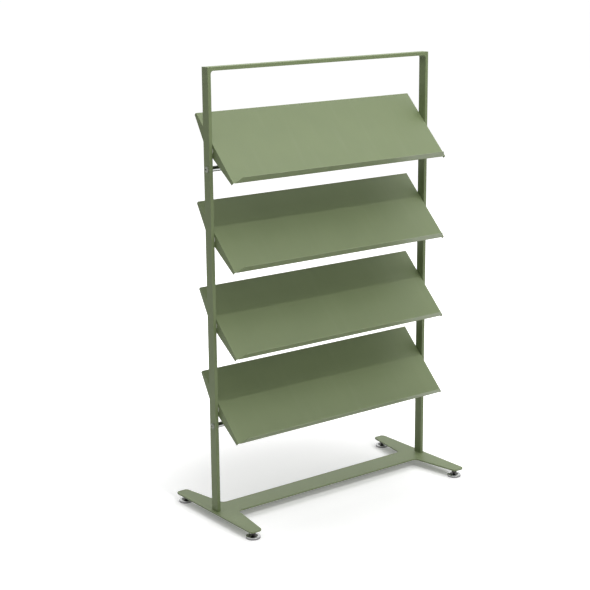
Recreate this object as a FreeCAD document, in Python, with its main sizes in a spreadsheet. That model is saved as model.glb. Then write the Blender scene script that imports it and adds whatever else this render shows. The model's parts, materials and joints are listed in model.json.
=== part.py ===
import FreeCAD, Part
import math
import os
from types import SimpleNamespace

import Sketcher

# Display stand of powder-coated steel for magazines and books.
# A flat-bar frame stands on an H-shaped foot plate with four levelling feet.
# Four folded sheet shelves hang between the posts on friction pivots, and two plated rods tie the posts.
# Millimetres, +X to the right, +Y to the back, +Z up; the origin is on the floor under the middle.

SHELF_COUNT = 4
HEX_CORNERS = 6
LEFT_TURN = 1
RIGHT_TURN = -1
SIDES = {"left": -1, "right": 1}
ENDS = {"front": -1, "back": 1}

SIZES = [
    # Flat-bar frame
    ("frame_width", 1002.0, "outside of one post to the outside of the other"),
    ("frame_height", 1604.0, "top of the foot plate to the top of the rail"),
    ("bar_thick", 13.0, "flat bar, thickness seen from the front"),
    ("bar_depth", 36.0, "flat bar, front to back"),
    ("bar_edge_radius", 0.5, "rolled edge of the flat bar"),
    ("weld_radius", 11.0, "hollow of the fillet weld inside each top corner"),
    # Foot plate
    ("plate_clear", 30.0, "floor to the underside of the foot plate"),
    ("plate_thick", 6.0, "foot plate"),
    ("plate_margin", 12.0, "foot plate edge outside the post's outer face"),
    ("plate_depth", 490.0, "foot plate, front tip to back tip"),
    ("bridge_width", 97.0, "crossbar of the H, front to back"),
    ("foot_root_width", 80.5, "leg of the H where it meets the crossbar"),
    ("foot_tip_width", 48.5, "leg of the H at its tip"),
    ("tip_radius", 15.0, "rounded corners of the tips"),
    ("crotch_radius", 20.0, "inner corners of the H"),
    ("plate_edge_radius", 0.8, "eased edges of the cut plate"),
    # Screws that hold the posts from below
    ("post_screw_dia", 6.0, "thread of the countersunk screws"),
    ("post_screw_head_dia", 12.0, "countersunk head"),
    ("post_screw_length", 22.0, "over the head"),
    ("post_screw_spacing", 18.0, "two screws in each post, front to back"),
    ("post_screw_play", 0.3, "round the screw in the plate"),
    ("post_screw_socket", 4.0, "across the flats of the hexagon socket"),
    ("post_screw_socket_depth", 2.0, "hexagon socket"),
    ("blind_hole_rest", 1.0, "blind hole past the end of its screw"),
    # Rods that tie the posts together
    ("rod_dia", 20.0, "plated tie rod"),
    ("rod_drop", 64.0, "rod axis below the pivot of the shelf over it"),
    ("rod_chamfer", 0.6, "ends of the rod"),
    ("rod_bolt_dia", 8.0, "thread of the button-head bolt"),
    ("rod_bolt_reach", 20.0, "thread inside the rod"),
    ("rod_bolt_head_dia", 22.0, "button head"),
    ("rod_bolt_head_height", 4.5, "button head"),
    ("rod_bolt_rim", 1.2, "straight rim of the button head"),
    ("rod_bolt_crown_dia", 11.0, "flat on top of the button head"),
    ("rod_bolt_dome_radius", 8.0, "dome between the rim and the flat"),
    ("rod_bolt_socket", 6.0, "across the flats of the hexagon socket"),
    ("rod_bolt_socket_depth", 3.0, "hexagon socket"),
    # Shelves
    ("top_pivot_drop", 285.0, "top of the rail to the pivot of the top shelf"),
    ("bottom_pivot_height", 389.0, "top of the foot plate to the pivot of the bottom shelf"),
    ("shelf_tilt", 45.0, "slope at rest, in degrees"),
    ("shelf_depth", 311.0, "back edge to the front fold, along the slope"),
    ("shelf_gap", 1.0, "between the post and the side flange"),
    ("sheet_thick", 1.5, "shelf sheet"),
    ("bend_radius", 1.8, "outside of each bend"),
    ("lip_height", 31.5, "front lip above the surface"),
    ("lip_inset", 10.0, "end of the lip from the side, at its foot"),
    ("lip_slant", 20.0, "how much further in the lip ends at its top"),
    ("back_return", 10.8, "back edge folded down"),
    ("flange_back_depth", 10.8, "side flange at the back"),
    ("flange_front_depth", 12.2, "side flange at the front"),
    ("flange_apex_depth", 43.5, "side flange at its deepest"),
    ("flange_apex_setback", 123.0, "deepest place from the back edge"),
    ("flange_apex_radius", 60.0, "rounding of the deepest place"),
    ("pivot_setback", 144.5, "pivot from the back edge, along the slope"),
    ("pivot_drop", 28.5, "pivot below the surface"),
    # Friction pivots
    ("pivot_dia", 8.0, "shoulder of the pivot bolt"),
    ("pivot_thread_dia", 6.0, "thread of the pivot bolt"),
    ("pivot_thread_length", 9.0, "thread in the post"),
    ("pivot_head_dia", 15.0, "head of the pivot bolt"),
    ("pivot_head_height", 5.0, "head of the pivot bolt"),
    ("pivot_head_chamfer", 0.6, "rim of the head"),
    ("pivot_socket", 5.0, "across the flats of the hexagon socket"),
    ("pivot_socket_depth", 3.0, "hexagon socket"),
    ("spacer_dia", 38.0, "friction disc between the post and the flange"),
    ("bush_wall", 2.0, "sleeve of the bush in the flange"),
    ("bush_collar_dia", 20.0, "collar of the bush inside the flange"),
    ("bush_collar_thick", 2.0, "collar of the bush"),
    ("spring_dia", 18.0, "disc spring under the bolt head"),
    ("spring_thick", 1.0, "disc spring"),
    ("spring_dish", 0.5, "height of the disc spring's cone"),
    # Levelling feet
    ("foot_inset", 27.5, "foot axis from the plate's outer edge and from its tip"),
    ("cap_dia", 53.0, "plated cap of the foot"),
    ("cap_wall", 1.4, "plated cap"),
    ("cap_lift", 0.8, "floor to the cap's rim"),
    ("cap_rim_top", 8.0, "floor to the top of the cap's straight rim"),
    ("cap_crown", 9.4, "floor to the top of the cap"),
    ("cap_crown_dia", 50.0, "flat on top of the cap"),
    ("cap_dome_radius", 2.2, "rounding between the rim and the flat"),
    ("pad_thick", 6.4, "plastic glide inside the cap"),
    ("pad_boss_dia", 16.0, "middle of the glide, which the stud stands on"),
    ("pad_boss_top", 7.9, "floor to the top of the middle of the glide"),
    ("pad_chamfer", 0.8, "lower rim of the glide"),
    ("stud_dia", 10.0, "threaded stud of the foot"),
    ("stud_chamfer", 1.0, "top of the stud"),
    ("stud_sink", 0.5, "top of the stud below the underside of the plate"),
    ("nut_flats", 17.0, "across the flats of the nut under the plate"),
    ("nut_height", 14.0, "long nut welded under the plate"),
    # Clearances
    ("running_play", 0.05, "round a turning or sliding shaft"),
    ("thread_play", 0.05, "round a thread in its hole"),
    ("end_play", 0.1, "between a turning face and the face beside it"),
]


class Size:
    """A length with its value and the expression that ties it to the sheet."""

    def __init__(self, value, text):
        self.value = value
        self.text = text

    def __add__(self, other):
        return Size(self.value + other.value, f"({self.text} + {other.text})")

    def __sub__(self, other):
        return Size(self.value - other.value, f"({self.text} - {other.text})")

    def __mul__(self, factor):
        return Size(self.value * factor, f"({self.text} * {factor})")

    def __truediv__(self, factor):
        return Size(self.value / factor, f"({self.text} / {factor})")

    def __neg__(self):
        return Size(-self.value, f"(-{self.text})")


ZERO = Size(0.0, "0")
doc = FreeCAD.newDocument("DisplayStand")


def fill_sheet():
    """The spreadsheet of driving sizes, and the same sizes by name."""
    sheet = doc.addObject("Spreadsheet::Sheet", "Sizes")
    for row, (alias, value, note) in enumerate(SIZES, 1):
        sheet.set(f"A{row}", alias)
        sheet.set(f"B{row}", str(value))
        sheet.setAlias(f"B{row}", alias)
        sheet.set(f"C{row}", note)
    doc.recompute()
    return SimpleNamespace(**{alias: Size(value, f"Sizes.{alias}") for alias, value, note in SIZES})


size = fill_sheet()

# Places that several pieces share
plate_top = size.plate_clear + size.plate_thick
post_outer = size.frame_width / 2
post_inner = post_outer - size.bar_thick
post_middle = post_outer - size.bar_thick / 2
plate_edge = post_outer + size.plate_margin
plate_tip = size.plate_depth / 2
foot_x = plate_edge - size.foot_inset
foot_y = plate_tip - size.foot_inset
shelf_half = post_inner - size.shelf_gap
top_pivot = plate_top + size.frame_height - size.top_pivot_drop
shelf_pitch = (size.frame_height - size.top_pivot_drop - size.bottom_pivot_height) / (SHELF_COUNT - 1)
pivot_heights = [top_pivot - shelf_pitch * n for n in range(SHELF_COUNT)]
rod_heights = {"upper": pivot_heights[0] - size.rod_drop, "lower": pivot_heights[-1] - size.rod_drop}
pivot_bore = size.pivot_dia / 2 + size.running_play
bush_radius = pivot_bore + size.bush_wall
stud_bore = size.stud_dia / 2 + size.running_play


def tie(thing, path, length):
    """Bind one property to the sheet."""
    thing.setExpression(path, length.text)


def new_body(label):
    body = doc.addObject("PartDesign::Body", label)
    body.Label = label
    return body


def origin_plane(body, role):
    return next(feature for feature in body.Origin.OriginFeatures if feature.Role == role)


def sketch_on(body, role, offset=ZERO):
    """A sketch on one of the body's own planes, moved along its normal."""
    sketch = body.newObject("Sketcher::SketchObject", "Sketch")
    sketch.AttachmentSupport = [(origin_plane(body, role), "")]
    sketch.MapMode = "FlatFace"
    tie(sketch, "AttachmentOffset.Base.z", offset)
    return sketch


def fix_point(sketch, geometry, point, x, y):
    """Hold one point of the sketch at the sizes x and y from the sketch's origin."""
    for direction, length in (("DistanceX", x), ("DistanceY", y)):
        constraint = Sketcher.Constraint(direction, -1, 1, geometry, point, length.value)
        tie(sketch, f"Constraints[{sketch.addConstraint(constraint)}]", length)


def fix_radius(sketch, geometry, radius):
    constraint = Sketcher.Constraint("Radius", geometry, radius.value)
    tie(sketch, f"Constraints[{sketch.addConstraint(constraint)}]", radius)


def add_circle(sketch, x, y, radius):
    centre = FreeCAD.Vector(x.value, y.value, 0)
    circle = sketch.addGeometry(Part.Circle(centre, FreeCAD.Vector(0, 0, 1), radius.value))
    fix_point(sketch, circle, 3, x, y)
    fix_radius(sketch, circle, radius)


def add_arc(sketch, start, end, radius, turn):
    """An arc from start to end that turns left or right; gives its number and its first and last points."""
    chord = end - start
    left = FreeCAD.Vector(-chord.y, chord.x, 0).normalize()
    reach = math.sqrt(radius.value ** 2 - (chord.Length / 2) ** 2)
    centre = (start + end) / 2 + left * (turn * reach)
    circle = Part.Circle(centre, FreeCAD.Vector(0, 0, 1), radius.value)
    first, last = (start, end) if turn == LEFT_TURN else (end, start)
    arc = sketch.addGeometry(Part.ArcOfCircle(circle, circle.parameter(first), circle.parameter(last)))
    fix_radius(sketch, arc, radius)
    return (arc, 1, 2) if turn == LEFT_TURN else (arc, 2, 1)


def add_outline(sketch, corners):
    """A closed outline through corners (x, y); (x, y, radius, turn) has an arc to the next corner."""
    points = [FreeCAD.Vector(corner[0].value, corner[1].value, 0) for corner in corners]
    spans = []
    for index, corner in enumerate(corners):
        start = points[index]
        end = points[(index + 1) % len(points)]
        if len(corner) == 2:
            spans.append((sketch.addGeometry(Part.LineSegment(start, end)), 1, 2))
        else:
            spans.append(add_arc(sketch, start, end, corner[2], corner[3]))
    for index, (geometry, first, last) in enumerate(spans):
        after, after_first, after_last = spans[(index + 1) % len(spans)]
        sketch.addConstraint(Sketcher.Constraint("Coincident", geometry, last, after, after_first))
    for (geometry, first, last), corner in zip(spans, corners):
        fix_point(sketch, geometry, first, corner[0], corner[1])


def add_hexagon(sketch, flats):
    """A regular hexagon about the sketch's origin, flats apart across its sides."""
    corner_share = 1 / math.sqrt(3)
    turns = [2 * math.pi * n / HEX_CORNERS for n in range(HEX_CORNERS)]
    add_outline(sketch, [(flats * (corner_share * math.cos(turn)), flats * (corner_share * math.sin(turn)))
                         for turn in turns])


def pad(body, sketch, length, side="One side", reverse=False):
    feature = body.newObject("PartDesign::Pad", "Pad")
    feature.Profile = sketch
    feature.SideType = side
    feature.Reversed = reverse
    tie(feature, "Length", length)
    return feature


def pocket(body, sketch, depth=None, reverse=False, side="One side"):
    """A pocket of some depth, or right through where no depth is given."""
    feature = body.newObject("PartDesign::Pocket", "Pocket")
    feature.Profile = sketch
    feature.SideType = side
    feature.Reversed = reverse
    if depth is None:
        feature.Type = "ThroughAll"
    else:
        tie(feature, "Length", depth)
    return feature


def revolve(body, sketch, axis):
    feature = body.newObject("PartDesign::Revolution", "Revolution")
    feature.Profile = sketch
    feature.ReferenceAxis = (sketch, [axis])
    feature.Angle = 360.0
    return feature


def fillet(body, chosen, radius):
    """Round the edges for which chosen(middle of the edge, its direction, the shape's box) is true."""
    doc.recompute()
    before = body.Tip
    shape = before.Shape
    names = []
    for number, edge in enumerate(shape.Edges, 1):
        if chosen(edge.CenterOfMass, edge.tangentAt(edge.FirstParameter), shape.BoundBox):
            names.append(f"Edge{number}")
    feature = body.newObject("PartDesign::Fillet", "Fillet")
    feature.Base = (before, names)
    tie(feature, "Radius", radius)
    return feature


def close_to(first, second):
    return abs(first - second) < 1e-4


def along(direction, axis):
    return close_to(abs(getattr(direction, axis)), 1)


def place(thing, x, y, z):
    for axis, length in (("x", x), ("y", y), ("z", z)):
        tie(thing, f"Placement.Base.{axis}", length)


def copies(label, pattern, places):
    """One node of like pieces: links to the pattern at places (x, y, z, turned half round or not)."""
    links = []
    for x, y, z, turned in places:
        link = doc.addObject("App::Link", f"{label}_copy")
        link.LinkedObject = pattern
        link.Placement.Rotation = FreeCAD.Rotation(FreeCAD.Vector(0, 0, 1), 180 if turned else 0)
        place(link, x, y, z)
        links.append(link)
    group = doc.addObject("Part::Compound", label)
    group.Label = label
    group.Links = links
    return group


def base_plate():
    """H-shaped plate: straight outer edges, legs that taper to rounded tips, and a crossbar."""
    body = new_body("base_plate")
    bridge = size.bridge_width / 2
    root = plate_edge - size.foot_root_width
    toe = plate_edge - size.foot_tip_width
    right_back = [(plate_edge, plate_tip), (toe, plate_tip), (root, bridge)]
    left_back = [(-x, y) for x, y in reversed(right_back)]
    left_front = [(-x, -y) for x, y in right_back]
    right_front = [(x, -y) for x, y in reversed(right_back)]
    sketch = sketch_on(body, "XY_Plane", size.plate_clear)
    add_outline(sketch, right_back + left_back + left_front + right_front)
    pad(body, sketch, size.plate_thick)
    fillet(body, lambda at, way, box: along(way, "z") and close_to(abs(at.y), box.YMax), size.tip_radius)
    fillet(body, lambda at, way, box: along(way, "z") and close_to(abs(at.y), bridge.value),
           size.crotch_radius)
    fillet(body, lambda at, way, box: close_to(at.z, box.ZMin) or close_to(at.z, box.ZMax),
           size.plate_edge_radius)
    shank = size.post_screw_dia / 2 + size.post_screw_play
    head = size.post_screw_head_dia / 2 + size.post_screw_play
    screws = sketch_on(body, "XY_Plane", size.plate_clear)
    for x, y, z, turned in post_screw_places():
        add_circle(screws, x, y, shank)
    pocket(body, screws, reverse=True)
    sinks = sketch_on(body, "XY_Plane", size.plate_clear)
    for x, y, z, turned in post_screw_places():
        add_circle(sinks, x, y, head)
    countersink = pocket(body, sinks, head - shank, reverse=True)
    countersink.TaperAngle = -45.0
    return body


def post(side):
    """Flat-bar post, mitred at the top, with holes for its screws, the rods' bolts and the pivots."""
    sign = SIDES[side]
    body = new_body(f"post_{side}")
    top = plate_top + size.frame_height
    profile = sketch_on(body, "XZ_Plane")
    add_outline(profile, [(post_outer * sign, plate_top), (post_inner * sign, plate_top),
                          (post_inner * sign, top - size.bar_thick), (post_outer * sign, top)])
    pad(body, profile, size.bar_depth, side="Symmetric")
    fillet(body, lambda at, way, box: along(way, "z"), size.bar_edge_radius)
    bolts = sketch_on(body, "YZ_Plane")
    for height in rod_heights.values():
        add_circle(bolts, ZERO, height, size.rod_bolt_dia / 2 + size.running_play)
    pocket(body, bolts, reverse=sign > 0)
    pivots = sketch_on(body, "YZ_Plane", post_inner * sign)
    for height in pivot_heights:
        add_circle(pivots, ZERO, height, size.pivot_thread_dia / 2 + size.thread_play)
    pocket(body, pivots, size.pivot_thread_length + size.blind_hole_rest, reverse=sign > 0)
    screws = sketch_on(body, "XY_Plane", plate_top)
    for y in (-size.post_screw_spacing / 2, size.post_screw_spacing / 2):
        add_circle(screws, post_middle * sign, y, size.post_screw_dia / 2 + size.thread_play)
    pocket(body, screws, size.post_screw_length - size.plate_thick + size.blind_hole_rest, reverse=True)
    return body


def top_rail():
    """Flat-bar rail, mitred into both posts."""
    body = new_body("top_rail")
    top = plate_top + size.frame_height
    profile = sketch_on(body, "XZ_Plane")
    add_outline(profile, [(-post_outer, top), (-post_inner, top - size.bar_thick),
                          (post_inner, top - size.bar_thick), (post_outer, top)])
    pad(body, profile, size.bar_depth, side="Symmetric")
    fillet(body, lambda at, way, box: along(way, "x"), size.bar_edge_radius)
    return body


def corner_welds():
    """Fillet welds, ground to a hollow curve, inside the two top corners."""
    bead = new_body("corner_weld")
    profile = sketch_on(bead, "XZ_Plane")
    radius = size.weld_radius
    add_outline(profile, [(ZERO, ZERO), (ZERO, -radius, radius, RIGHT_TURN), (radius, ZERO)])
    pad(bead, profile, size.bar_depth - size.bar_edge_radius * 2, side="Symmetric")
    corner = plate_top + size.frame_height - size.bar_thick
    return copies("corner_welds", bead, [(-post_inner, ZERO, corner, False), (post_inner, ZERO, corner, True)])


def post_screw_places():
    return [(post_middle * sign, size.post_screw_spacing * (end / 2), size.plate_clear, False)
            for sign in SIDES.values() for end in ENDS.values()]


def post_screws():
    """Countersunk screws up through the plate into the ends of the posts."""
    screw = new_body("post_screw")
    shank = size.post_screw_dia / 2
    head = size.post_screw_head_dia / 2
    profile = sketch_on(screw, "XZ_Plane")
    add_outline(profile, [(ZERO, ZERO), (head, ZERO), (shank, head - shank),
                          (shank, size.post_screw_length), (ZERO, size.post_screw_length)])
    revolve(screw, profile, "V_Axis")
    socket = sketch_on(screw, "XY_Plane")
    add_hexagon(socket, size.post_screw_socket)
    pocket(screw, socket, size.post_screw_socket_depth, reverse=True)
    return copies("post_screws", screw, post_screw_places())


def tie_rod(name):
    """Plated rod between the posts, tapped at both ends."""
    body = new_body(f"tie_rod_{name}")
    radius = size.rod_dia / 2
    bore = size.rod_bolt_dia / 2 + size.thread_play
    bore_end = post_inner - size.rod_bolt_reach - size.blind_hole_rest
    right = [(bore_end, ZERO), (bore_end, bore), (post_inner, bore), (post_inner, radius - size.rod_chamfer),
             (post_inner - size.rod_chamfer, radius)]
    profile = sketch_on(body, "XZ_Plane")
    add_outline(profile, right + [(-x, z) for x, z in reversed(right)])
    revolve(body, profile, "H_Axis")
    place(body, ZERO, ZERO, rod_heights[name])
    return body


def tie_rod_bolts():
    """Button-head bolts through the posts into the rods."""
    bolt = new_body("tie_rod_bolt")
    shank = size.rod_bolt_dia / 2
    end = -(size.bar_thick + size.rod_bolt_reach)
    head = size.rod_bolt_head_dia / 2
    profile = sketch_on(bolt, "XZ_Plane")
    add_outline(profile, [(end, ZERO), (size.rod_bolt_head_height, ZERO),
                          (size.rod_bolt_head_height, size.rod_bolt_crown_dia / 2,
                           size.rod_bolt_dome_radius, RIGHT_TURN),
                          (size.rod_bolt_rim, head), (ZERO, head), (ZERO, shank), (end, shank)])
    revolve(bolt, profile, "H_Axis")
    socket = sketch_on(bolt, "YZ_Plane", size.rod_bolt_head_height)
    add_hexagon(socket, size.rod_bolt_socket)
    pocket(bolt, socket, size.rod_bolt_socket_depth)
    return copies("tie_rod_bolts", bolt, [(post_outer * sign, ZERO, height, sign < 0)
                                          for sign in SIDES.values() for height in rod_heights.values()])


def pivot_places():
    """On the inner face of each post, where a turned piece points away from the right post."""
    return [(post_inner * sign, ZERO, height, sign > 0) for sign in SIDES.values() for height in pivot_heights]


def ring(label, corners):
    """A piece turned about the X axis, its outline given by (place along X, radius)."""
    body = new_body(label)
    profile = sketch_on(body, "XZ_Plane")
    add_outline(profile, corners)
    revolve(body, profile, "H_Axis")
    return body


spring_start = size.shelf_gap + size.sheet_thick + size.bush_collar_thick + size.end_play
pivot_reach = spring_start + size.spring_dish + size.spring_thick


def pivot_bolts():
    """Shoulder bolts screwed into the posts from inside, which carry the shelves."""
    thread = size.pivot_thread_dia / 2
    shoulder = size.pivot_dia / 2
    head = size.pivot_head_dia / 2
    top = pivot_reach + size.pivot_head_height
    bolt = ring("pivot_bolt", [(-size.pivot_thread_length, ZERO), (top, ZERO),
                               (top, head - size.pivot_head_chamfer), (top - size.pivot_head_chamfer, head),
                               (pivot_reach, head), (pivot_reach, shoulder), (ZERO, shoulder), (ZERO, thread),
                               (-size.pivot_thread_length, thread)])
    socket = sketch_on(bolt, "YZ_Plane", top)
    add_hexagon(socket, size.pivot_socket)
    pocket(bolt, socket, size.pivot_socket_depth)
    return copies("pivot_bolts", bolt, pivot_places())


def pivot_spacers():
    """Friction discs between the posts and the shelves, a little wider than the posts."""
    rim = size.spacer_dia / 2
    thick = size.shelf_gap - size.end_play
    spacer = ring("pivot_spacer", [(ZERO, pivot_bore), (thick, pivot_bore), (thick, rim), (ZERO, rim)])
    return copies("pivot_spacers", spacer, pivot_places())


def pivot_springs():
    """Disc springs under the bolt heads: they press on the bushes, so a shelf stays where it is put."""
    rim = size.spring_dia / 2
    inner = spring_start + size.spring_dish
    spring = ring("pivot_spring", [(spring_start, rim), (inner, pivot_bore), (pivot_reach, pivot_bore),
                                   (spring_start + size.spring_thick, rim)])
    return copies("pivot_springs", spring, pivot_places())


def bend_edge(at, way, side, back, level):
    """True for an edge where a side or the back is folded down from the surface at that level."""
    beside = along(way, "y") and close_to(abs(at.x), side.value)
    behind = along(way, "x") and close_to(at.y, back.value)
    return close_to(at.z, level.value) and (beside or behind)


def shelf_panel(number):
    """Folded sheet: sloping surface, lip turned up, back edge and tapering side flanges turned down."""
    body = new_body(f"shelf_{number}_panel")
    sheet = size.sheet_thick
    bend = size.bend_radius
    surface = size.pivot_drop
    back = size.pivot_setback
    front = back - size.shelf_depth
    lip_end = shelf_half - size.lip_inset
    right = [(lip_end, front), (lip_end, front + bend), (shelf_half, front + bend), (shelf_half, back)]
    blank = sketch_on(body, "XY_Plane", surface)
    add_outline(blank, right + [(-x, y) for x, y in reversed(right)])
    pad(body, blank, sheet, reverse=True)

    lip_right = [(lip_end, surface - sheet), (lip_end, surface + bend),
                 (lip_end - size.lip_slant, surface + size.lip_height)]
    lip = sketch_on(body, "XZ_Plane", -front)
    add_outline(lip, lip_right + [(-x, z) for x, z in reversed(lip_right)])
    pad(body, lip, sheet, reverse=True)

    fold_right = [(shelf_half, surface - size.back_return), (shelf_half, surface)]
    fold = sketch_on(body, "XZ_Plane", -back)
    add_outline(fold, fold_right + [(-x, z) for x, z in reversed(fold_right)])
    pad(body, fold, sheet)

    flange = sketch_on(body, "YZ_Plane", -shelf_half)
    add_outline(flange, [(back, surface), (back, surface - size.flange_back_depth),
                         (back - size.flange_apex_setback, surface - size.flange_apex_depth),
                         (front + bend, surface - size.flange_front_depth), (front + bend, surface)])
    left_flange = pad(body, flange, sheet)
    mirror = body.newObject("PartDesign::Mirrored", "Mirrored")
    mirror.Originals = [left_flange]
    mirror.MirrorPlane = (origin_plane(body, "YZ_Plane"), [""])
    body.Tip = mirror

    fillet(body, lambda at, way, box: along(way, "x") and close_to(at.z, box.ZMin), size.flange_apex_radius)
    fillet(body, lambda at, way, box: bend_edge(at, way, shelf_half, back, surface)
           or (along(way, "x") and close_to(at.y, front.value) and close_to(at.z, (surface - sheet).value)), bend)
    fillet(body, lambda at, way, box: bend_edge(at, way, shelf_half - sheet, back - sheet, surface - sheet)
           or (along(way, "x") and close_to(at.y, (front + sheet).value) and close_to(at.z, surface.value)),
           bend - sheet)
    holes = sketch_on(body, "YZ_Plane")
    add_circle(holes, ZERO, ZERO, bush_radius + size.running_play)
    pocket(body, holes, side="Symmetric")
    body.Placement.Rotation = FreeCAD.Rotation(FreeCAD.Vector(1, 0, 0), 0)
    body.setExpression("Placement.Rotation.Angle", f"{size.shelf_tilt.text} * 1deg")
    place(body, ZERO, ZERO, pivot_heights[number - 1])
    return body


def shelf_bushes():
    """Plastic bushes in the side flanges, collars inside, two to a shelf."""
    sheet = size.sheet_thick
    collar = size.bush_collar_dia / 2
    end = sheet + size.bush_collar_thick
    bush = ring("shelf_bush", [(ZERO, pivot_bore), (end, pivot_bore), (end, collar), (sheet, collar),
                               (sheet, bush_radius), (ZERO, bush_radius)])
    return [copies(f"shelf_{number}_bushes", bush, [(shelf_half * sign, ZERO, height, sign > 0)
                                                    for sign in SIDES.values()])
            for number, height in enumerate(pivot_heights, 1)]


def foot_nuts():
    """Long nuts welded under the tips of the plate, which the feet screw into."""
    nut = new_body("foot_nut")
    outline = sketch_on(nut, "XY_Plane")
    add_hexagon(outline, size.nut_flats)
    pad(nut, outline, size.nut_height)
    bore = sketch_on(nut, "XY_Plane")
    add_circle(bore, ZERO, ZERO, stud_bore)
    pocket(nut, bore, reverse=True)
    under = size.plate_clear - size.nut_height
    return copies("foot_nuts", nut, [(foot_x * sign, foot_y * end, under, False)
                                     for sign in SIDES.values() for end in ENDS.values()])


def turned(label, corners):
    """A piece turned about the Z axis, its outline given by (radius, height)."""
    body = new_body(label)
    profile = sketch_on(body, "XZ_Plane")
    add_outline(profile, corners)
    revolve(body, profile, "V_Axis")
    return body


def levelling_foot(end, side):
    """Plated cap over a plastic glide, on a threaded stud."""
    name = f"foot_{end}_{side}"
    rim = size.cap_dia / 2
    wall = size.cap_wall
    crown = size.cap_crown_dia / 2
    cap = turned(f"{name}_cap", [
        (rim, size.cap_lift), (rim, size.cap_rim_top, size.cap_dome_radius, LEFT_TURN),
        (crown, size.cap_crown), (stud_bore, size.cap_crown), (stud_bore, size.cap_crown - wall),
        (crown, size.cap_crown - wall, size.cap_dome_radius, RIGHT_TURN),
        (rim - wall, size.cap_rim_top - wall / 2), (rim - wall, size.cap_lift)])
    pad_rim = rim - wall - size.end_play
    boss = size.pad_boss_dia / 2
    glide = turned(f"{name}_pad", [
        (ZERO, ZERO), (pad_rim - size.pad_chamfer, ZERO), (pad_rim, size.pad_chamfer),
        (pad_rim, size.cap_rim_top - wall), (boss, size.pad_thick), (boss, size.pad_boss_top),
        (ZERO, size.pad_boss_top)])
    stud_radius = size.stud_dia / 2
    stud_top = size.plate_clear - size.stud_sink
    stud = turned(f"{name}_stud", [
        (ZERO, size.pad_boss_top), (stud_radius, size.pad_boss_top),
        (stud_radius, stud_top - size.stud_chamfer), (stud_radius - size.stud_chamfer, stud_top),
        (ZERO, stud_top)])
    for piece in (cap, glide, stud):
        place(piece, foot_x * SIDES[side], foot_y * ENDS[end], ZERO)
    return [cap, glide, stud]


parts = [base_plate(), top_rail(), corner_welds(), post_screws(), tie_rod_bolts()]
parts += [post(side) for side in SIDES]
parts += [tie_rod(name) for name in rod_heights]
parts += [pivot_bolts(), pivot_spacers(), pivot_springs()]
parts += [shelf_panel(number) for number in range(1, SHELF_COUNT + 1)]
parts += shelf_bushes()
parts.append(foot_nuts())
for end in ENDS:
    for side in SIDES:
        parts += levelling_foot(end, side)
doc.recompute()

failed = [thing.Label for thing in doc.Objects if {"Invalid", "Error"} & set(thing.State)]
failed += [part.Label for part in parts if part.Shape.isNull() or not part.Shape.isValid()]
if failed:
    raise RuntimeError(f"pieces that failed: {failed}")
os.makedirs("parts", exist_ok=True)
for part in parts:
    part.Shape.exportStep(os.path.join("parts", f"{part.Label}.step"))
print(f"{len(parts)} pieces written")
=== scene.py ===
import json
import math

import bpy
import numpy as np
from mathutils import Matrix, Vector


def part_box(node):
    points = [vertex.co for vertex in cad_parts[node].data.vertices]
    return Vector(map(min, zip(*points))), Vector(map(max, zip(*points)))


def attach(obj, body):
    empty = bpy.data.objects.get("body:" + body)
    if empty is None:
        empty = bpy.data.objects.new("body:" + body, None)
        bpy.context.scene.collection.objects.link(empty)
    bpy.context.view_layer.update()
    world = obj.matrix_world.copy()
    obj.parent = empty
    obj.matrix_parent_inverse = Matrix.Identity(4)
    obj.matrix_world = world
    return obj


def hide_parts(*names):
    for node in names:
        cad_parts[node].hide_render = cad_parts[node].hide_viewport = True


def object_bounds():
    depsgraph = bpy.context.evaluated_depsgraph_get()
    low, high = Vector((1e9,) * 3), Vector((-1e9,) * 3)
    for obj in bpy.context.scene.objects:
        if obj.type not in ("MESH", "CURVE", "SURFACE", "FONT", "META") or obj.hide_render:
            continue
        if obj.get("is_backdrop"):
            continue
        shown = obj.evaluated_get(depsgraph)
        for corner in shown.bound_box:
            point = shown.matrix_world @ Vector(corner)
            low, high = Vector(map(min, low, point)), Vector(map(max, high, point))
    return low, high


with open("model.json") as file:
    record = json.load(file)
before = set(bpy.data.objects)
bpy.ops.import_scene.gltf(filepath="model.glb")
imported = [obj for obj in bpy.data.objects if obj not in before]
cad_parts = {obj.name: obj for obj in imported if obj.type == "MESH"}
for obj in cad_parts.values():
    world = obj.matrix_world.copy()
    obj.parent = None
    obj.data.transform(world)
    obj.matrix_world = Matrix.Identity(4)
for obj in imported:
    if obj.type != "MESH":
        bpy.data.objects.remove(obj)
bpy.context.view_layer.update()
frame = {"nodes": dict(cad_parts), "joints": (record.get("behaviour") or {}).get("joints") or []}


# Foot plate: an H cut from 6 mm steel plate, powder-coated in a matt grey green with a fine orange peel.
# A paler film all over greys it, for floor dust and painted sheen, and shoes and brooms leave scuffs that
# are paler and smoother.
class Wire:
    """A node socket that Python sums work on: each operator adds one Math node."""

    def __init__(self, tree, socket):
        self.tree = tree
        self.socket = socket

    def feed(self, place):
        """Links this socket to an input."""
        self.tree.links.new(self.socket, place)

    def maths(self, operation, *terms):
        """The result of one Math node on the terms."""
        node = self.tree.nodes.new("ShaderNodeMath")
        node.operation = operation
        for place, term in zip(node.inputs, terms):
            put(place, term)
        return Wire(self.tree, node.outputs[0])

    def __add__(self, other):
        return self.maths("ADD", self, other)

    def __sub__(self, other):
        return self.maths("SUBTRACT", self, other)

    def __rsub__(self, other):
        return self.maths("SUBTRACT", other, self)

    def __mul__(self, other):
        return self.maths("MULTIPLY", self, other)

    def __abs__(self):
        return self.maths("ABSOLUTE", self)

    def at_most(self, limit):
        """The smaller of this and the limit."""
        return self.maths("MINIMUM", self, limit)

    __radd__ = __add__
    __rmul__ = __mul__


def put(place, term):
    """A wire is linked to the socket, and anything else becomes its value."""
    if isinstance(term, Wire):
        term.feed(place)
    else:
        place.default_value = term


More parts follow.
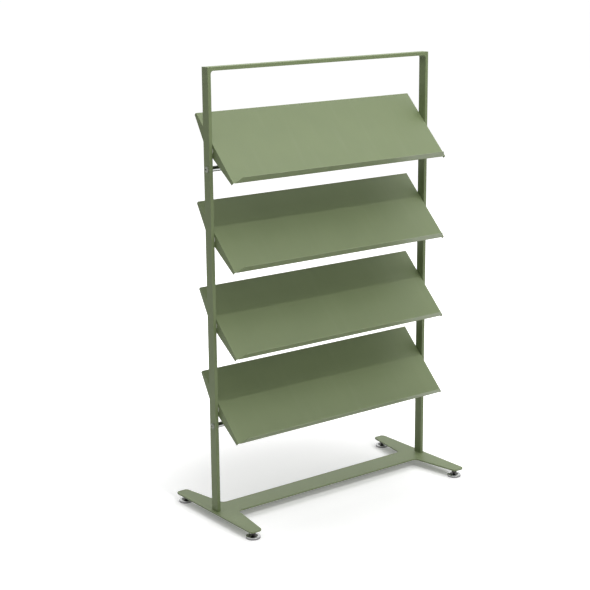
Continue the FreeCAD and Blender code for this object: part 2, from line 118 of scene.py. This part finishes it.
class Finish:
    """One material, or the world, made of nodes."""

    def __init__(self, name, kind="materials"):
        self.owner = getattr(bpy.data, kind).new(name)
        self.owner.use_nodes = True
        self.tree = self.owner.node_tree
        self.tree.nodes.clear()

    def node(self, kind, settings=None, sockets=None, out=None):
        """A node of a type: its settings first, then the values or wires of its sockets, by identifier.
        It gives the first output, the one named by out, or a list where out is a tuple of names."""
        node = self.tree.nodes.new(kind)
        for key, value in (settings or {}).items():
            setattr(node, key, value)
        places = {place.identifier: place for place in node.inputs}
        for key, term in (sockets or {}).items():
            put(places[key], term)
        ends = {end.identifier: end for end in node.outputs}
        if isinstance(out, tuple):
            return [Wire(self.tree, ends[name]) for name in out]
        return Wire(self.tree, ends[out] if out else node.outputs[0])

    def place(self):
        """Where a point of the surface is, in metres."""
        return self.node("ShaderNodeTexCoord", out="Object")

    def place_along(self, *ways):
        """The place along some of X, Y and Z, one wire each."""
        return self.node("ShaderNodeSeparateXYZ", sockets={"Vector": self.place()}, out=ways)

    def noise(self, scale, detail=2.0, stretch=(1.0, 1.0, 1.0), turn=(0.0, 0.0, 0.0), seed=0.0):
        """Smooth noise between 0 and 1, with about scale bumps to the metre along each unstretched way."""
        shift = (seed, 0.7 * seed, 0.3 * seed)
        at = self.node("ShaderNodeMapping", sockets={"Vector": self.place(), "Rotation": turn,
                                                     "Scale": stretch, "Location": shift})
        return self.node("ShaderNodeTexNoise", sockets={"Vector": at, "Scale": scale, "Detail": detail})

    def ramp(self, value, low, high):
        """0 below low, 1 above high and a smooth rise between."""
        return self.node("ShaderNodeMapRange", {"interpolation_type": "SMOOTHSTEP"},
                         {"Value": value, "From Min": low, "From Max": high}, "Result")

    def blend(self, share, first, second):
        """The first colour where share is 0 and the second where it is 1."""
        return self.node("ShaderNodeMix", {"data_type": "RGBA"},
                         {"Factor_Float": share, "A_Color": first, "B_Color": second}, "Result_Color")

    def bump(self, height, depth, strength):
        """A surface that rises by depth metres where height is 1."""
        return self.node("ShaderNodeBump",
                         sockets={"Height": height, "Distance": depth, "Strength": strength})

    def surface(self, sockets):
        """Closes the material with its one shader."""
        shader = self.node("ShaderNodeBsdfPrincipled", sockets=sockets)
        shader.feed(self.tree.nodes.new("ShaderNodeOutputMaterial").inputs["Surface"])
        return self.owner


GREEN = (0.152, 0.194, 0.087, 1.0)
GREEN_PALE = (0.186, 0.228, 0.118, 1.0)
GREEN_DEEP = (0.142, 0.183, 0.080, 1.0)
CLOUDS_PER_METRE = 9.0
GRAINS_PER_METRE = 1400.0
GRAIN_SHARE = 0.15
PEEL_PER_METRE = 700.0
PEEL_DEPTH = 0.00012
COAT_ROUGHNESS = 0.52
CLOUD_ROUGHNESS = 0.10
WORN_SMOOTHNESS = 0.14
SCUFFS_PER_METRE = 26.0
SCUFF_TURN = (0.0, 0.0, 0.5)
SCUFF_SHARE = 0.4
# Painted sheen as well as dust: the whole plate is painted paler for the white it reflects.
DUST_AND_SHEEN_SHARE = 0.6


def dress(node, material):
    """The node shows this material all over."""
    mesh = frame["nodes"][node].data
    mesh.materials.clear()
    mesh.materials.append(material)


def powder_coat(name, seed, wear_and_sheen=None):
    """Grey green coat: cloudy by a few per cent, peeled like an orange, and paler and smoother by a given
    share of wear and painted sheen.
    """
    finish = Finish(name)
    cloud = finish.noise(CLOUDS_PER_METRE, detail=3.0, seed=seed)
    grain = finish.noise(GRAINS_PER_METRE, detail=1.0, seed=seed)
    colour = finish.blend(finish.ramp(cloud, low=0.25, high=0.75), GREEN_DEEP, GREEN)
    colour = finish.blend(finish.ramp(grain, low=0.5, high=0.8) * GRAIN_SHARE, colour, GREEN_PALE)
    rough = COAT_ROUGHNESS + CLOUD_ROUGHNESS * cloud
    if wear_and_sheen is not None:
        share = wear_and_sheen(finish)
        # Paler where the share is: wear, and painted sheen on the plate and on the shelves' lips.
        colour = finish.blend(share, colour, GREEN_PALE)
        rough = rough - WORN_SMOOTHNESS * share
    peel = finish.noise(PEEL_PER_METRE, detail=2.0, seed=seed)
    return finish.surface({"Base Color": colour, "Roughness": rough,
                           "Normal": finish.bump(peel, PEEL_DEPTH, strength=0.35)})


def dust_scuffs_and_sheen(finish):
    """A film of dust even over the plate, which is also painted sheen, and scuffs: short streaks, only where
    two noises meet.
    """
    streak = finish.noise(SCUFFS_PER_METRE, detail=4.0, stretch=(1.0, 4.0, 1.0), turn=SCUFF_TURN)
    patch = finish.noise(scale=5.0, detail=2.0, seed=3.0)
    scuff = finish.ramp(streak, low=0.52, high=0.72) * finish.ramp(patch, low=0.42, high=0.62)
    # The even share is dust and painted sheen; the scuffs are wear.
    return DUST_AND_SHEEN_SHARE + scuff * SCUFF_SHARE


dress("base_plate", powder_coat("plate_coat", 1.0, dust_scuffs_and_sheen))

# Posts and rail: flat bar 36 by 13 mm, mitred and welded at the top corners, ground and powder-coated.
# The welds inside the corners keep a hollow curve and a trace of their ripples under the coat.
WELD_RIPPLE_SCALE = 55.0
WELD_RIPPLE_DEPTH = 0.0004
WELD_ROUGHNESS = 0.50
WELD_ROUGHNESS_SPREAD = 0.12

for seed, bar in enumerate(("post_left", "post_right", "top_rail"), 2):
    dress(bar, powder_coat(f"{bar}_coat", float(seed)))

weld_coat = Finish("weld_coat")
ripple = weld_coat.node("ShaderNodeTexWave", {"wave_type": "BANDS", "bands_direction": "Y"},
                        {"Vector": weld_coat.place(), "Scale": WELD_RIPPLE_SCALE, "Distortion": 2.0,
                         "Detail": 1.0}, "Fac")
dress("corner_welds", weld_coat.surface({
    "Base Color": weld_coat.blend(weld_coat.noise(scale=60.0), GREEN_DEEP, GREEN),
    "Roughness": WELD_ROUGHNESS + WELD_ROUGHNESS_SPREAD * weld_coat.noise(scale=40.0),
    "Normal": weld_coat.bump(ripple, WELD_RIPPLE_DEPTH, strength=0.5)}))

# Screws and bolts: zinc-plated steel gone dull, fine-brushed, with a faint yellow and blue cast.
# The countersunk screws come up through the plate, the button heads of the rods' bolts sit on the outsides
# of the posts, and the pivots' shoulder bolts are screwed in from the insides.
ZINC_BLUE = (0.150, 0.170, 0.140, 1.0)
ZINC_YELLOW = (0.185, 0.195, 0.155, 1.0)
ZINC_ROUGHNESS = 0.34
ZINC_BRUSH_ROUGHNESS = 0.16
ZINC_BRUSH_DEPTH = 0.00004


def zinc_plate(name, seed):
    """Dull zinc: the cast drifts over a few millimetres, and fine lines run along X."""
    finish = Finish(name)
    cast = finish.ramp(finish.noise(scale=130.0, detail=3.0, seed=seed), low=0.35, high=0.65)
    brush = finish.noise(scale=1800.0, detail=1.0, stretch=(0.2, 1.0, 1.0), seed=seed)
    return finish.surface({"Base Color": finish.blend(cast, ZINC_BLUE, ZINC_YELLOW), "Metallic": 1.0,
                           "Roughness": ZINC_ROUGHNESS + ZINC_BRUSH_ROUGHNESS * brush,
                           "Normal": finish.bump(brush, ZINC_BRUSH_DEPTH, strength=0.3)})


for seed, fixing in enumerate(("post_screws", "tie_rod_bolts", "pivot_bolts")):
    dress(fixing, zinc_plate(f"{fixing}_zinc", float(seed)))

# Tie rods: drawn steel bar, 20 mm, polished and chrome-plated, its ends drawn up against the posts.
# The plate mirrors the shelves and the floor in long bands; its colour is painted dark on top, a painted
# reflection of the shelf above, and painted dark below as painted shade.
ROD_CHAMFER = 0.0006
ROD_COLUMNS = 96
ROD_BRIGHT = (0.44, 0.45, 0.45, 1.0)
ROD_HAZY = (0.39, 0.40, 0.40, 1.0)
# Painted reflection and painted shade: the dark colour painted on the rod's top and bottom, and the share of
# it below.
ROD_PAINTED_DARK = (0.13, 0.14, 0.12, 1.0)
ROD_PAINTED_SHADE_SHARE = 0.6
POLISH_DEPTH = 0.00001
SHARP_ANGLE = math.radians(32)


def skin(name, points, closed=False):
    """A surface through points[row, column]: columns go round, and rows close on themselves or end in
    fans."""
    rows, columns = points.shape[:2]
    vertices = points.reshape(-1, 3)
    number = np.arange(rows * columns).reshape(rows, columns)
    lower = number if closed else number[:-1]
    upper = np.roll(number, -1, axis=0)[:len(lower)]
    quads = np.stack([lower, np.roll(lower, -1, axis=1), np.roll(upper, -1, axis=1), upper], axis=-1)
    faces = quads.reshape(-1, 4).tolist()
    if not closed:
        first = np.full(columns, len(vertices))
        vertices = np.vstack([vertices, points[0].mean(axis=0), points[-1].mean(axis=0)])
        faces += np.stack([first, np.roll(number[0], -1), number[0]], axis=-1).tolist()
        faces += np.stack([first + 1, number[-1], np.roll(number[-1], -1)], axis=-1).tolist()
    mesh = bpy.data.meshes.new(name)
    mesh.from_pydata(vertices.tolist(), [], faces)
    mesh.polygons.foreach_set("use_smooth", np.ones(len(faces), dtype=bool))
    mesh.set_sharp_from_angle(angle=SHARP_ANGLE)
    piece = bpy.data.objects.new(name, mesh)
    bpy.context.scene.collection.objects.link(piece)
    return piece


def turns(columns):
    """Angles round a circle, evenly spaced."""
    return np.linspace(0, 2 * np.pi, columns, endpoint=False)


def rod_points(low, high):
    """A circle carried along X, drawn in by the chamfer at both ends."""
    radius = (high[2] - low[2]) / 2
    turn = turns(ROD_COLUMNS)
    along = np.array([low[0], low[0] + ROD_CHAMFER, high[0] - ROD_CHAMFER, high[0]])[:, None]
    reach = np.array([radius - ROD_CHAMFER, radius, radius, radius - ROD_CHAMFER])[:, None]
    middle = (low + high) / 2
    return np.stack([along + 0 * turn, middle[1] + reach * np.cos(turn), middle[2] + reach * np.sin(turn)],
                    axis=-1)


def rod_plate(name, axis_height, radius):
    """Bright plate with hair-fine polishing lines and patches of haze. Rise, the height over the axis in
    radii, says where the colour is painted dark and rougher: a painted reflection above and painted shade
    below."""
    finish = Finish(name)
    lines = finish.noise(scale=900.0, detail=2.0, stretch=(0.01, 1.0, 1.0))
    haze = finish.ramp(finish.noise(scale=18.0, detail=3.0), low=0.4, high=0.7)
    height, = finish.place_along("Z")
    rise = (height - axis_height) * (1 / radius)
    # Painted reflection: the top of the rod is painted dark, for the shelf above that it mirrors.
    painted_top_reflection = finish.ramp(rise, low=0.05, high=0.30)
    # Painted shade: the bottom of the rod is painted dark.
    painted_shade = finish.ramp(0 - rise, low=0.50, high=0.75)
    painted_dark_bands = painted_top_reflection + painted_shade * ROD_PAINTED_SHADE_SHARE
    plate = finish.blend(haze, ROD_BRIGHT, ROD_HAZY)
    return finish.surface({"Base Color": finish.blend(painted_dark_bands, plate, ROD_PAINTED_DARK), "Metallic": 1.0,
                           "Roughness": 0.07 + 0.08 * lines + 0.05 * haze + 0.20 * painted_dark_bands,
                           "Normal": finish.bump(lines, POLISH_DEPTH, strength=0.25)})


for name in ("tie_rod_upper", "tie_rod_lower"):
    low, high = (np.array(corner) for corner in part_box(name))
    rod = skin(f"{name}_plated", rod_points(low, high))
    rod.data.materials.append(rod_plate(f"{name}_chrome", ((low + high) / 2)[2], (high[2] - low[2]) / 2))
    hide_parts(name)
    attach(rod, "frame")

# Pivots: friction discs hold the shelves off the posts, and disc springs of tempered steel press on the
# bushes, so that a shelf stays at the slope it is set to. Discs and bushes are natural nylon.
TEMPER_BLUE = (0.16, 0.17, 0.20, 1.0)
TEMPER_STRAW = (0.24, 0.21, 0.18, 1.0)
NYLON_WARM = (0.76, 0.75, 0.70, 1.0)
NYLON_WHITE = (0.84, 0.83, 0.79, 1.0)
NYLON_BUMP_DEPTH = 0.00006

tempered = Finish("spring_steel")
temper = tempered.ramp(tempered.noise(scale=220.0, detail=2.0), low=0.3, high=0.7)
dress("pivot_springs", tempered.surface({
    "Base Color": tempered.blend(temper, TEMPER_BLUE, TEMPER_STRAW),
    "Metallic": 1.0, "Roughness": 0.30 + 0.15 * temper}))

nylon = Finish("nylon")
milk = nylon.noise(scale=160.0, detail=3.0)
nylon_finish = nylon.surface({"Base Color": nylon.blend(milk, NYLON_WARM, NYLON_WHITE),
                              "Roughness": 0.42 + 0.14 * milk,
                              "Normal": nylon.bump(milk, NYLON_BUMP_DEPTH, strength=0.3)})
dress("pivot_spacers", nylon_finish)

# Shelves: 1.5 mm sheet, folded up into a lip at the front and down at the back and the sides, then coated.
# Paper slides down them, which polishes faint streaks along the slope, and hands rub the top edge of the lip
# pale. The face of the lip is painted paler and made smoother: painted sheen.
SLOPE = math.radians(45)
PIVOT_TO_SURFACE = 0.0285
PIVOT_TO_LIP_TOP = 0.0600
RUBBED_EDGE = 0.0016
# Painted sheen: from this height over the surface up, the face of the lip is painted paler by the share
# below.
LIP_SHEEN_FOOT = 4 * RUBBED_EDGE
LIP_PAINTED_SHEEN_SHARE = 0.75
EDGE_SHARE = 0.1
CHIP_SHARE = 0.15
STREAK_SHARE = 0.15


def shelf_coat(number, pivot_height):
    """The coat of one shelf: hands polish the top edge of the lip, the face of the lip is painted pale as
    painted sheen, and paper streaks the slope.
    Rise is the distance from the pivot, square to the slope."""

    def wear_and_sheen(finish):
        across, height = finish.place_along("Y", "Z")
        rise = (height - pivot_height) * math.cos(SLOPE) - across * math.sin(SLOPE)
        edge = finish.ramp(rise, PIVOT_TO_LIP_TOP - RUBBED_EDGE, PIVOT_TO_LIP_TOP)
        # Painted sheen: the whole face of the lip is painted paler.
        painted_lip_sheen = finish.ramp(rise, PIVOT_TO_SURFACE, PIVOT_TO_SURFACE + LIP_SHEEN_FOOT)
        chips = finish.ramp(finish.noise(scale=70.0, detail=4.0, seed=number), low=0.35, high=0.65)
        streak = finish.noise(scale=30.0, detail=4.0, stretch=(1.0, 0.12, 0.12), seed=number)
        # The top edge is wear; the lip's share is painted sheen.
        rubbed_and_sheen = edge * (EDGE_SHARE + CHIP_SHARE * chips) + painted_lip_sheen * LIP_PAINTED_SHEEN_SHARE
        return rubbed_and_sheen + finish.ramp(streak, low=0.50, high=0.80) * STREAK_SHARE

    return powder_coat(f"shelf_{number}_coat", 10.0 + number, wear_and_sheen)


for number, joint in enumerate((joint for joint in frame["joints"] if joint["name"].startswith("shelf")), 1):
    dress(f"shelf_{number}_panel", shelf_coat(number, joint["pos_m"][2]))
    dress(f"shelf_{number}_bushes", nylon_finish)

# Levelling feet: a pressed and plated cap over a black moulded glide, on a threaded stud that runs up into
# the nut under the plate. The cap is polished on top and brushed round its wall, and the stud is blackened.
# The nut takes the stud's black as painted shade under the plate, and the cap is painted dark round the
# stud, painted shade as well.
FEET = [f"foot_{end}_{side}" for end in ("front", "back") for side in ("left", "right")]
CAP_WALL = 0.0014
CAP_NECK = 0.0051
CAP_CROWN_RADIUS = 0.0250
CAP_RIM_TOP = 0.0080
CAP_EDGE = 0.0007
CAP_BULGE = 0.0004
CAP_FOOT_BULGE = CAP_EDGE * 0.2
CAP_COLUMNS = 72
# Painted shade: radius and fade of a dark circle painted on each cap round the stud, under the plate.
CAP_PAINTED_SHADE_RADIUS = 0.0165
CAP_PAINTED_SHADE_FADE = 1.2
CAP_BRIGHT = (0.60, 0.61, 0.61, 1.0)
# Painted shade: the dark colour of that circle.
CAP_PAINTED_SHADE = (0.055, 0.058, 0.050, 1.0)
CAP_BRUSHED = (0.25, 0.25, 0.25, 1.0)
THREAD_PITCH = 0.0015
THREAD_DEPTH = 0.0009
STUD_CHAMFER = 0.0010
STUD_COLUMNS = 40
ROWS_PER_PITCH = 12
STEEL_BLACK = (0.045, 0.045, 0.048, 1.0)
STEEL_OILED = (0.11, 0.10, 0.09, 1.0)
GLIDE_BLACK = (0.018, 0.018, 0.019, 1.0)
GLIDE_SCRAPED = (0.055, 0.054, 0.052, 1.0)
GLIDE_SPECK_DEPTH = 0.00008


def arc(start, end, bulge, count):
    """Points of a flat curve from start to end that swells by bulge, a parabola over the chord."""
    start, end = np.array(start), np.array(end)
    share = np.linspace(0, 1, count)[:, None]
    chord = end - start
    normal = np.array([chord[1], -chord[0]]) / np.linalg.norm(chord)
    return start + share * chord + 4 * bulge * share * (1 - share) * normal


def round_axis(centre, reach, turn, height):
    """Points at a reach from a vertical axis, by turn and height."""
    return np.stack([centre[0] + reach * np.cos(turn), centre[1] + reach * np.sin(turn), height + 0 * turn],
                    axis=-1)


def cap_points(low, high):
    """A profile of radius and height carried round: from the wall's foot up over the pressed edge and the
    flat to the neck, and back down inside."""
    rim = (high[0] - low[0]) / 2
    profile = np.vstack([
        arc((rim - CAP_EDGE, low[2]), (rim, low[2] + CAP_EDGE), CAP_FOOT_BULGE, count=5),
        arc((rim, CAP_RIM_TOP), (CAP_CROWN_RADIUS, high[2]), CAP_BULGE, count=12),
        [(CAP_NECK, high[2]), (CAP_NECK, high[2] - CAP_WALL)],
        arc((CAP_CROWN_RADIUS - CAP_WALL, high[2] - CAP_WALL), (rim - CAP_WALL, CAP_RIM_TOP - CAP_WALL),
            -CAP_BULGE / 2, count=6),
        [(rim - CAP_WALL, low[2])]])
    return round_axis((low + high) / 2, profile[:, :1], turns(CAP_COLUMNS), profile[:, 1:])


def stud_points(low, high):
    """Radius over turn and height: a V groove that climbs one pitch a turn, chamfered at the top."""
    radius = (high[0] - low[0]) / 2
    turn = turns(STUD_COLUMNS)
    rows = ROWS_PER_PITCH * round((high[2] - low[2]) / THREAD_PITCH)
    height = np.linspace(low[2], high[2], rows)[:, None]
    groove = np.abs(2 * ((height / THREAD_PITCH - turn / (2 * np.pi)) % 1) - 1)
    chamfer = np.clip((height - high[2] + STUD_CHAMFER), 0, None)
    reach = np.minimum(radius - THREAD_DEPTH * groove, radius - chamfer)
    return round_axis((low + high) / 2, reach, turn, height)


def cap_plate(foot_x, foot_y):
    """One plate for all four caps, which stand at plus and minus foot_x and foot_y: bright on the crown,
    brushed below it, and painted dark and rougher within a circle round each stud, painted shade under the
    plate."""
    finish = Finish("cap_chrome")
    lines = finish.noise(scale=900.0, detail=2.0)
    across, deep, height = finish.place_along("X", "Y", "Z")
    brushed = 1.0 - finish.ramp(height, CAP_RIM_TOP, CAP_RIM_TOP + CAP_EDGE)
    off_x = abs(across) - foot_x
    off_y = abs(deep) - foot_y
    # Painted shade: dark and rougher within a circle round each stud.
    outside_painted_shade = finish.ramp(off_x * off_x + off_y * off_y, CAP_PAINTED_SHADE_RADIUS ** 2, CAP_PAINTED_SHADE_FADE * CAP_PAINTED_SHADE_RADIUS ** 2)
    painted_shade = 1.0 - outside_painted_shade
    crown = finish.blend(painted_shade, CAP_BRIGHT, CAP_PAINTED_SHADE)
    return finish.surface({
        "Base Color": finish.blend(brushed, crown, CAP_BRUSHED), "Metallic": 1.0,
        "Roughness": 0.06 + 0.06 * lines + 0.30 * brushed + 0.25 * painted_shade,
        "Normal": finish.bump(lines, POLISH_DEPTH, strength=0.2)})


low, high = (np.array(corner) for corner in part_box("foot_back_right_cap"))
cap_chrome = cap_plate(*((low + high) / 2)[:2])

# Black steel for the studs; on the nuts the same black is painted shade under the plate.
black_and_shade = Finish("black_steel_and_painted_shade")
oil = black_and_shade.ramp(black_and_shade.noise(scale=260.0, detail=3.0), low=0.35, high=0.7)
stud_finish = black_and_shade.surface({
    "Base Color": black_and_shade.blend(oil, STEEL_BLACK, STEEL_OILED),
    "Metallic": 0.9, "Roughness": 0.36 + 0.18 * oil})

moulded = Finish("moulded_glide")
speck = moulded.noise(scale=2200.0, detail=1.0)
scrape = moulded.ramp(moulded.noise(scale=90.0, detail=4.0, stretch=(1.0, 0.3, 1.0)), low=0.55, high=0.75)
glide_finish = moulded.surface({
    "Base Color": moulded.blend(scrape, GLIDE_BLACK, GLIDE_SCRAPED), "Roughness": 0.48 + 0.14 * scrape,
    "Normal": moulded.bump(speck, GLIDE_SPECK_DEPTH, strength=0.4)})

# The nuts take the stud's black, which stands in for painted shade under the plate.
dress("foot_nuts", stud_finish)
for foot in FEET:
    low, high = (np.array(corner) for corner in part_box(f"{foot}_cap"))
    cap = skin(f"{foot}_pressed_cap", cap_points(low, high), closed=True)
    cap.data.materials.append(cap_chrome)
    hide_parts(f"{foot}_cap")
    low, high = (np.array(corner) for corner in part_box(f"{foot}_stud"))
    stud = skin(f"{foot}_threaded_stud", stud_points(low, high))
    stud.data.materials.append(stud_finish)
    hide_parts(f"{foot}_stud")
    for piece in (cap, stud):
        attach(piece, foot)
    dress(f"{foot}_pad", glide_finish)

# Studio: a white floor that runs out of sight into a white room, with soft lights overhead and to the right
# and a fill at the front. A small key light from the front casts each shelf's edge on the shelf below.
WHITE = (1.0, 1.0, 1.0, 1.0)
BLACK = (0.0, 0.0, 0.0, 1.0)
FLOOR_REACH = 60.0
FLOOR_BOUNCE = (0.90, 0.90, 0.90, 1.0)
FLOOR_NEAR = (0.98, 0.98, 0.98, 1.0)
FLOOR_FAR = (0.65, 0.65, 0.65, 1.0)
FLOOR_GLOW = 0.17
SHADOW_NEAR = 0.35
SHADOW_FAR = 1.2
ROOM_LIGHT = 0.025
LIGHT_AIM = np.array((0.0, 0.0, 0.9))
DOWN_AIM_AHEAD = 0.01
OVERHEAD_PLACE, OVERHEAD_WIDTH, OVERHEAD_POWER = np.array((0.0, 0.0, 4.6)), 9.0, 265.0
SIDE_PLACE, SIDE_WIDTH, SIDE_POWER = np.array((2.0, 0.0, 4.4)), 5.0, 88.0
FRONT_PLACE, FRONT_WIDTH, FRONT_POWER = np.array((0.3, -5.0, 3.0)), 2.0, 65.0
KEY_DISTANCE, KEY_WIDTH, KEY_POWER = 5.0, 0.08, 51.0
KEY_RISE = math.radians(51.4)
KEY_SIDE = math.radians(-10)


def seen_directly(finish):
    """1 for what the eye, a mirror or a pane shows, and 0 for light that falls on things."""
    eye, mirror, pane = finish.node("ShaderNodeLightPath", out=("Is Camera Ray", "Is Glossy Ray",
                                                                "Is Transmission Ray"))
    return (eye + mirror + pane).at_most(1.0)


# Seen directly, the floor glows: a little near the stand, which lightens its shadows there, and fully from
# SHADOW_FAR out, where its shadows are painted out white.
floor_finish = Finish("pale_floor")
seen = seen_directly(floor_finish)
away = floor_finish.node("ShaderNodeVectorMath", {"operation": "LENGTH"}, {"Vector": floor_finish.place()},
                         "Value")
plain = floor_finish.ramp(away, SHADOW_NEAR, SHADOW_FAR)
lit = floor_finish.blend(plain, FLOOR_NEAR, FLOOR_FAR)
glow = FLOOR_GLOW + (1 - FLOOR_GLOW) * plain
paper = floor_finish.surface({
    "Base Color": floor_finish.blend(seen, FLOOR_BOUNCE, lit),
    "Emission Color": floor_finish.blend(seen * glow, BLACK, WHITE),
    "Emission Strength": 1.0, "Roughness": 1.0, "Specular IOR Level": 0.0})
corners = np.array([(-1, -1, 0), (1, -1, 0), (1, 1, 0), (-1, 1, 0)]) * FLOOR_REACH
floor_mesh = bpy.data.meshes.new("floor")
floor_mesh.from_pydata(corners.tolist(), [], [(0, 1, 2, 3)])
floor_mesh.materials.append(paper)
floor = bpy.data.objects.new("floor", floor_mesh)
bpy.context.scene.collection.objects.link(floor)
floor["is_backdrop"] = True

room = Finish("white_room", kind="worlds")
shown = seen_directly(room)
air = room.node("ShaderNodeBackground", sockets={"Color": WHITE,
                                                 "Strength": shown + (1 - shown) * ROOM_LIGHT})
air.feed(room.tree.nodes.new("ShaderNodeOutputWorld").inputs["Surface"])
bpy.context.scene.world = room.owner


def direction(side, rise):
    """The unit vector towards a side angle, 0 at the front and more to the right, and a rise angle."""
    return np.array((math.sin(side) * math.cos(rise), -math.cos(side) * math.cos(rise), math.sin(rise)))


def stand(thing, right, up, back, place):
    """Puts a light or a camera at a place, looking against back."""
    thing.matrix_world = Matrix(np.vstack([np.stack([right, up, back, place], 1), (0, 0, 0, 1)]).tolist())
    bpy.context.scene.collection.objects.link(thing)


def soft_light(name, place, aim, across, power):
    """A square light of that width that faces aim."""
    lamp = bpy.data.lights.new(name, "AREA")
    lamp.shape = "SQUARE"
    lamp.size = across
    lamp.energy = power
    back = (place - aim) / np.linalg.norm(place - aim)
    right = np.cross((0.0, 1.0, 0.0), back)
    right = right / np.linalg.norm(right)
    stand(bpy.data.objects.new(name, lamp), right, np.cross(back, right), back, place)


def below(place):
    """The point of the floor under a light, a hair to the front."""
    return np.array((place[0], place[1] - DOWN_AIM_AHEAD, 0.0))


key_place = LIGHT_AIM + KEY_DISTANCE * direction(KEY_SIDE, KEY_RISE)
soft_light("key_light", key_place, LIGHT_AIM, KEY_WIDTH, KEY_POWER)
soft_light("overhead_light", OVERHEAD_PLACE, below(OVERHEAD_PLACE), OVERHEAD_WIDTH, OVERHEAD_POWER)
soft_light("side_light", SIDE_PLACE, below(SIDE_PLACE), SIDE_WIDTH, SIDE_POWER)
soft_light("front_light", FRONT_PLACE, LIGHT_AIM, FRONT_WIDTH, FRONT_POWER)

# Camera: a long lens at the left front, a little above the middle of the stand, turned by half a degree.
# Its angles, distance and focal length were solved from the stand's straight edges.
SENSOR = 36.0
IMAGE_WIDTH = 590
FOCAL_PIXELS = 1435.62
CAMERA_SIDE = math.radians(-37.06)
CAMERA_RISE = math.radians(13.97)
CAMERA_ROLL = math.radians(-0.51)
CAMERA_DISTANCE = 5.2738
CAMERA_AIM = np.array((-0.12633, 0.0, 0.78772))
back = direction(CAMERA_SIDE, CAMERA_RISE)
level = np.array((math.cos(CAMERA_SIDE), math.sin(CAMERA_SIDE), 0.0))
upright = np.cross(back, level)
right = math.cos(CAMERA_ROLL) * level + math.sin(CAMERA_ROLL) * upright
up = math.cos(CAMERA_ROLL) * upright - math.sin(CAMERA_ROLL) * level
lens = bpy.data.cameras.new("camera")
lens.sensor_width = SENSOR
lens.lens = FOCAL_PIXELS / IMAGE_WIDTH * SENSOR
camera = bpy.data.objects.new("camera", lens)
stand(camera, right, up, back, CAMERA_AIM + CAMERA_DISTANCE * back)
bpy.context.scene.camera = camera
bpy.context.scene.view_settings.view_transform = "Standard"

# The size of the dressed stand: the bounds of every shown mesh but the floor.
low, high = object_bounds()
